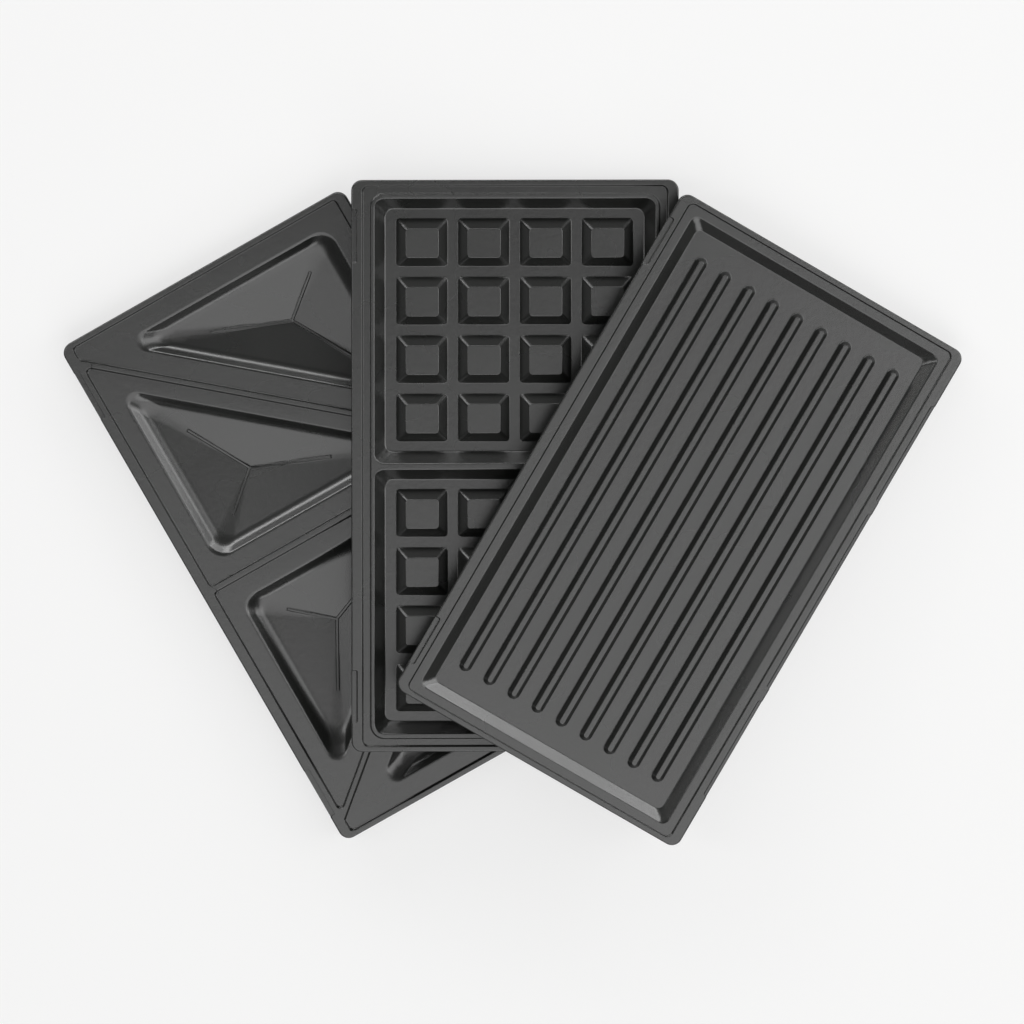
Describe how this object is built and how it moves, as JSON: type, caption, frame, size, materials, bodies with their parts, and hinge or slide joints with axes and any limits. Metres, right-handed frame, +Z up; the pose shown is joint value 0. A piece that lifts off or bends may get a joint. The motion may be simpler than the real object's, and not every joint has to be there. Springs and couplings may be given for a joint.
{
  "type": "sandwich maker plate set",
  "caption": "Interchangeable non-stick cooking plates for a sandwich maker: triangle sandwich, waffle and grill plates, fanned out and leaning on each other.",
  "frame": {"origin": "on the table, under the middle of the whole fan's outline", "axes": "+Z up from the table, +X to the right across the fan, from the triangle plate to the grill plate, +Y towards the plates' upper ends"},
  "size_m": [0.3612, 0.2678, 0.0439],
  "materials": {
    "triangle_coating": "satin dark grey non-stick coating on cast aluminium",
    "waffle_coating": "satin dark grey non-stick coating on cast aluminium",
    "grill_coating": "satin dark grey non-stick coating on cast aluminium"
  },
  "bodies": {
    "triangle_plate": {"triangle_plate": "triangle_coating"},
    "waffle_plate": {"waffle_plate": "waffle_coating"},
    "grill_plate": {"grill_plate": "grill_coating"}
  },
  "joints": [
    {"name": "waffle_lift", "type": "slide", "parent": "triangle_plate", "child": "waffle_plate", "axis": [0, 0, 1], "range_m": [0, 0.08]},
    {"name": "grill_lift", "type": "slide", "parent": "waffle_plate", "child": "grill_plate", "axis": [0, 0, 1], "range_m": [0, 0.08]}
  ]
}
